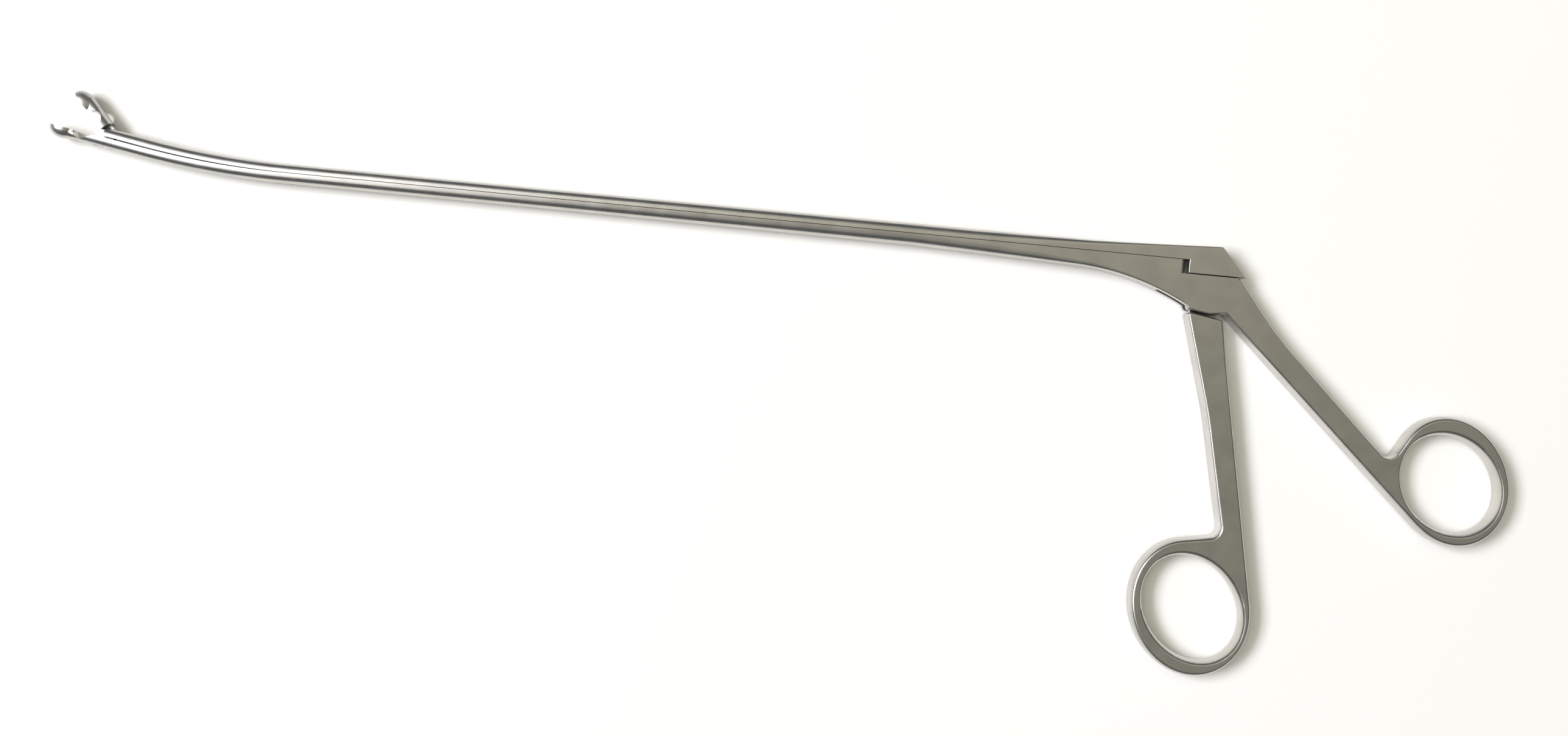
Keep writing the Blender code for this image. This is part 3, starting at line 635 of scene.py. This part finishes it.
def sliding_piece():
    """Upper half of the shaft with its rear block, guide keys and forked front."""
    at = (TRAVEL, 0)
    item = upper_half("sliding_shaft_skin")
    left = -BLOCK_AHEAD - TRAVEL
    right = BLOCK_BEHIND - TRAVEL
    over = SPLIT_HEIGHT + 1
    block = [(left, BLOCK_BOTTOM), (right, BLOCK_BOTTOM), (right, over), (left, over)]
    top = np.array([BLOCK_TOP_BEHIND - TRAVEL, SPLIT_HEIGHT + BLOCK_RISE])
    foot = np.array([right, BLOCK_BOTTOM])
    chamfer = [foot * 2 - top, (FAR, FAR), top * 2 - foot]
    middle = LEVER_ARM * math.sin(LEVER_TRAVEL / 2) - TRAVEL
    reach = TONGUE_TIP + TIP_GAP
    ceiling = LEVER_ARM + TONGUE_TIP + 2 * TIP_GAP
    low = (middle - reach, BLOCK_BOTTOM - 1)
    high = (middle + reach, ceiling, TONGUE / 2 + SIDE_GAP)
    steps = [
        ("UNION", plate("block", [block], PLATE, CORNER_EDGE, at)),
        ("DIFFERENCE", plate("block chamfer", [chamfer], 2 * PLATE, 0.0, at)),
        ("DIFFERENCE", box("tip mortise", low, high, at)),
    ]
    base = SPLIT_HEIGHT + SLIDE_GAP
    neck = base - KEY_NECK
    floor = neck - KEY_HEAD_DEPTH
    for distance in KEY_PLACES:
        front = -distance - KEY_LENGTH / 2
        rear = -distance + KEY_LENGTH / 2
        low = (front, floor + KEY_HEAD_DEPTH / 2)
        steps += [
            ("UNION", box("key stem", low, (rear, base + KEY_NECK, KEY_STEM), at)),
            ("UNION", box("key head", (front, floor), (rear, neck, KEY_HEAD), at)),
        ]
    half = TANG / 2 + SIDE_GAP
    place = HINGE + np.array([TRAVEL, 0])
    centre = (-DRIVE_AHEAD, DRIVE_UP)
    bore = DRIVE_PIN + PIN_GAP
    steps += [
        ("DIFFERENCE", box("fork", (-FAR, -FAR), (FORK_REAR, FAR, half), place, -BEND_ANGLE)),
        ("DIFFERENCE", cylinder("bore", centre, bore, 2 * PLATE, 0.0, place, -BEND_ANGLE)),
    ]
    return shape(item, steps)


def lever_piece():
    """Finger ring and shank, with the thin tongue that drives the slider."""
    outline = rounded([
        (SHOULDER_LEFT, CORNER_ROUND),
        (WAIST, WAIST_RADIUS),
        *reversed(FINGER_RING.shank(THROAT, -1, LEVER_WIDTH)),
        (THROAT, THROAT_RADIUS),
        (SHOULDER_RIGHT, CORNER_ROUND),
    ])
    hole = FINGER_RING.hole_outline()
    contours = [outline, hole]
    edges = [
        FINGER_RING.edges(outline, PLATE_EDGE, *RIM_EDGE),
        FINGER_RING.edges(hole, PLATE_EDGE, *HOLE_EDGE),
    ]
    item = plate("lever_skin", contours, PLATE, edges)
    tilt = LEVER_TRAVEL / 2
    along = np.array([math.sin(tilt), math.cos(tilt)])
    across = np.array([math.cos(tilt), -math.sin(tilt)]) * TONGUE_NECK
    tip = along * LEVER_ARM
    neck = tip * 0.6
    root = TONGUE_ROOT
    shoulder = SHOULDER_LEFT[1]
    tongue = [
        tip - across,
        neck - across,
        (-root, 0),
        (-root, shoulder - 2 * PLATE_EDGE),
        (-root / 2, shoulder - root),
        (root, shoulder - root),
        (root, 0),
        neck + across,
        tip + across,
    ]
    return shape(item, [
        ("UNION", plate("tongue", [tongue], TONGUE)),
        ("UNION", cylinder("tongue tip", tip, TONGUE_TIP, TONGUE)),
        ("DIFFERENCE", cylinder("lever bore", (0, 0), PIVOT_PIN + 2 * PIN_GAP, 2 * PLATE)),
    ])


def jaw_piece():
    """Upper cup with its neck, and the thin tang between the hinge and the drive pin."""
    turn = -BEND_ANGLE - JAW_OPENING
    neck = NECK_START + NECK_LENGTH * np.linspace(0, 1, NECK_STEPS)
    distance = np.concatenate([[BASE_REAR], neck, [CUP_CENTRE]])
    share = neck_share(distance)
    width = SHAFT_RADIUS + (NECK_HALF_WIDTH - SHAFT_RADIUS) * share
    height = np.full_like(width, JAW_BACK - JAW_GAP / 2)
    offset, z = half_section(width, height, width)
    x = np.broadcast_to(-distance[:, None], z.shape)
    rings = np.stack([x, JAW_DROP + JAW_GAP / 2 + offset, z], -1)
    item = loft("cup_skin", rings, HINGE, turn)
    top = JAW_DROP + SHAFT_RADIUS
    outline = rounded([
        ((-BASE_REAR - EYE, JAW_DROP + EYE / 2), 0),
        ((-BASE_REAR - EYE, top - EYE / 2), 0),
        ((-BASE_REAR, top), EYE / 4),
        ((-DRIVE_AHEAD / 4, top), EYE / 2),
        ((TANG_REAR, 0), EYE),
        ((TANG_REAR, -EYE), EYE * 0.7),
        ((-EYE, -EYE), EYE * 0.9),
        ((-EYE - DRIVE_AHEAD, JAW_DROP + JAW_GAP), 0),
    ])
    outward = np.array([-DRIVE_AHEAD, DRIVE_UP])
    reach = np.linalg.norm(outward)
    outward /= reach
    half = DRIVE_PIN + PIN_GAP
    across = np.array([outward[1], -outward[0]]) * half
    far = outward * (reach + half + PIN_GAP)
    near = outward * (reach - half - DRIVE_SLACK)
    slot = rounded([
        (far + across, DRIVE_PIN),
        (far - across, DRIVE_PIN),
        (near - across, DRIVE_PIN),
        (near + across, DRIVE_PIN),
    ])
    bore = HINGE_PIN + 2 * PIN_GAP
    return shape(item, [
        ("UNION", plate("tang", [outline], TANG, 0.0, HINGE, turn)),
        ("DIFFERENCE", cylinder("eye bore", (0, 0), bore, 2 * PLATE, 0.0, HINGE, turn)),
        ("DIFFERENCE", plate("drive slot", [slot], PLATE, 0.0, HINGE, turn)),
        *cup_steps(1, UPPER_RELIEF, turn),
    ])


def pins():
    """The lever's pivot pin, the jaw's hinge pin and its drive pin, ground flush."""
    pivot = cylinder("pivot_pin_skin", (0, 0), PIVOT_PIN + PIN_GAP - PIN_FIT, PLATE)
    radius = HINGE_PIN + PIN_GAP - PIN_FIT
    hinge = cylinder("hinge_pin_skin", (0, 0), radius, 2 * PLATE, 0.0, HINGE)
    c, s = math.cos(BEND_ANGLE), math.sin(BEND_ANGLE)
    lean = np.array([s * DRIVE_UP - c * DRIVE_AHEAD, s * DRIVE_AHEAD + c * DRIVE_UP])
    place = HINGE + lean + np.array([TRAVEL, 0])
    radius = DRIVE_PIN + PIN_GAP - PIN_FIT
    drive = cylinder("drive_pin_skin", (0, 0), radius, 2 * PLATE, 0.0, place)
    return [
        shape(pivot, []),
        shape(hinge, [("INTERSECT", lower_half("hinge pin ends"))]),
        shape(drive, [("INTERSECT", upper_half("drive pin ends"))]),
    ]


# Finish

def steel(name, colour, roughness):
    """Satin ground steel: metal with fine grain in its height and soft blotches of polish, and
    painted shade that darkens its colour towards near-black in gaps, notches and where parts meet.
    """
    material = bpy.data.materials.new(name)
    material.use_nodes = True
    nodes = material.node_tree.nodes
    link = material.node_tree.links.new
    shader = nodes["Principled BSDF"]
    shader.inputs["Metallic"].default_value = 1.0
    place = nodes.new("ShaderNodeTexCoord").outputs["Object"]

    def noise(scale, detail):
        texture = nodes.new("ShaderNodeTexNoise")
        texture.inputs["Scale"].default_value = scale
        texture.inputs["Detail"].default_value = detail
        link(place, texture.inputs["Vector"])
        return texture.outputs["Fac"]

    def spread(value, low, high):
        scale = nodes.new("ShaderNodeMapRange")
        scale.inputs["From Min"].default_value = 0.3
        scale.inputs["From Max"].default_value = 0.7
        scale.inputs["To Min"].default_value = low
        scale.inputs["To Max"].default_value = high
        link(value, scale.inputs["Value"])
        return scale.outputs["Result"]

    tint = nodes.new("ShaderNodeMix")
    tint.data_type = "RGBA"
    tint.inputs["A"].default_value = (*[channel * 0.93 for channel in colour], 1)
    tint.inputs["B"].default_value = (*[channel * 1.05 for channel in colour], 1)
    link(spread(noise(180, 3), 0, 1), tint.inputs["Factor"])
    # Painted shade: ambient occlusion darkens the base colour towards near-black in narrow gaps,
    # notches and where parts meet
    gap_shade = nodes.new("ShaderNodeAmbientOcclusion")
    gap_shade.samples = 8
    gap_shade.inputs["Distance"].default_value = GAP_SHADE_REACH * MM
    deep = nodes.new("ShaderNodeMix")
    deep.data_type = "RGBA"
    deep.inputs["A"].default_value = GAP_SHADE_COLOUR
    link(tint.outputs["Result"], deep.inputs["B"])
    unshaded_share = nodes.new("ShaderNodeMapRange")
    unshaded_share.inputs["From Min"].default_value = 0.2
    unshaded_share.inputs["From Max"].default_value = 0.62
    link(gap_shade.outputs["AO"], unshaded_share.inputs["Value"])
    link(unshaded_share.outputs["Result"], deep.inputs["Factor"])
    link(deep.outputs["Result"], shader.inputs["Base Color"])
    link(spread(noise(260, 4), roughness - 0.03, roughness + 0.04), shader.inputs["Roughness"])
    grain = nodes.new("ShaderNodeBump")
    grain.inputs["Strength"].default_value = 0.35
    grain.inputs["Distance"].default_value = GRAIN_DEPTH * MM
    link(noise(6000, 2), grain.inputs["Height"])
    link(grain.outputs["Normal"], shader.inputs["Normal"])
    return material


def wear(item, node, body, material):
    """Puts a piece in place of its CAD node, on its body, with its finish."""
    item.data.materials.clear()
    item.data.materials.append(material)
    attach(item, body)
    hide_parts(node)


fixed = fixed_piece()
slider = sliding_piece()
lever = lever_piece()
jaw = jaw_piece()
pivot_pin, hinge_pin, drive_pin = pins()
wear(fixed, "fixed_shaft_handle", "frame", steel("Fixed piece steel", STEEL_COLOUR, 0.27))
wear(slider, "sliding_shaft", "slider", steel("Slider steel", SLIDER_COLOUR, 0.27))
wear(lever, "finger_lever", "lever", steel("Lever steel", STEEL_COLOUR, 0.27))
wear(jaw, "upper_cup_jaw", "jaw", steel("Cup steel", CUP_COLOUR, 0.36))
wear(pivot_pin, "lever_pivot_pin", "frame", steel("Pivot pin steel", STEEL_COLOUR, 0.25))
wear(hinge_pin, "jaw_hinge_pin", "frame", steel("Hinge pin steel", STEEL_COLOUR, 0.25))
wear(drive_pin, "jaw_drive_pin", "slider", steel("Drive pin steel", STEEL_COLOUR, 0.25))


# Stage

def floor_sheet():
    """A wide white sheet under the forceps."""
    low, high = -SHEET_HALF, SHEET_HALF
    corners = [(low, low, 0), (high, low, 0), (high, high, 0), (low, high, 0)]
    sheet = mesh_object("White sheet", np.array(corners, float), [[0, 1, 2, 3]])
    paper = bpy.data.materials.new("White sheet")
    paper.use_nodes = True
    shader = paper.node_tree.nodes["Principled BSDF"]
    shader.inputs["Base Color"].default_value = SHEET_COLOUR
    shader.inputs["Roughness"].default_value = 0.9
    shader.inputs["Specular IOR Level"].default_value = 0.0
    shader.inputs["Emission Color"].default_value = SHEET_GLOW
    rays = paper.node_tree.nodes.new("ShaderNodeLightPath")
    seen = paper.node_tree.nodes.new("ShaderNodeMath")
    seen.operation = "MAXIMUM"
    paper.node_tree.links.new(rays.outputs["Is Camera Ray"], seen.inputs[0])
    paper.node_tree.links.new(rays.outputs["Is Glossy Ray"], seen.inputs[1])
    paper.node_tree.links.new(seen.outputs[0], shader.inputs["Emission Strength"])
    sheet.data.materials.append(paper)


def soft_box(name, place, aim, size, power, colour):
    """A rectangular lamp that faces a point; lengths in millimetres."""
    lamp = bpy.data.lights.new(name, "AREA")
    lamp.shape = "RECTANGLE"
    lamp.size = size[0] * MM
    lamp.size_y = size[1] * MM
    lamp.energy = power
    lamp.color = colour
    item = bpy.data.objects.new(name, lamp)
    item.location = Vector(place) * MM
    item.rotation_mode = "QUATERNION"
    item.rotation_quaternion = (Vector(aim) - Vector(place)).to_track_quat("-Z", "Y")
    bpy.context.scene.collection.objects.link(item)


def light():
    """A lamp and a wide bright panel at the left, a dim card above and a low grey world."""
    lamp = (-2064, 290, 2158)
    soft_box("Left lamp", lamp, (0, 0, 0), (1600, 840), 84.0, (0.97, 0.99, 1.12))
    panel = (-1030, 145, 2275)
    soft_box("Left panel", panel, (0, 0, 0), (2600, 1020), 12.5, (1.0, 0.98, 0.94))
    card = (260, 0, 700)
    soft_box("Right card", card, (260, 0, 0), (900, 900), 0.5, (1.0, 0.91, 0.66))
    card = (260, 360, 690)
    soft_box("Upper card", card, (260, 360, 0), (900, 520), 0.42, (1.0, 0.92, 0.7))
    world = bpy.data.worlds.new("Room")
    bpy.context.scene.world = world
    world.use_nodes = True
    background = world.node_tree.nodes["Background"]
    background.inputs["Color"].default_value = ROOM_COLOUR
    background.inputs["Strength"].default_value = ROOM_STRENGTH


def camera():
    """Straight above the shaft's rear half, rolled so that the shaft slopes in the frame."""
    data = bpy.data.cameras.new("Camera")
    data.sensor_width = 36.0
    data.lens = LENS
    data.clip_start = 0.01
    data.clip_end = 20
    item = bpy.data.objects.new("Camera", data)
    item.location = Vector(CAMERA_PLACE) * MM
    item.rotation_euler.z = CAMERA_ROLL
    bpy.context.scene.collection.objects.link(item)
    bpy.context.scene.camera = item


floor_sheet()
light()
camera()
bpy.context.scene.view_settings.view_transform = "Standard"
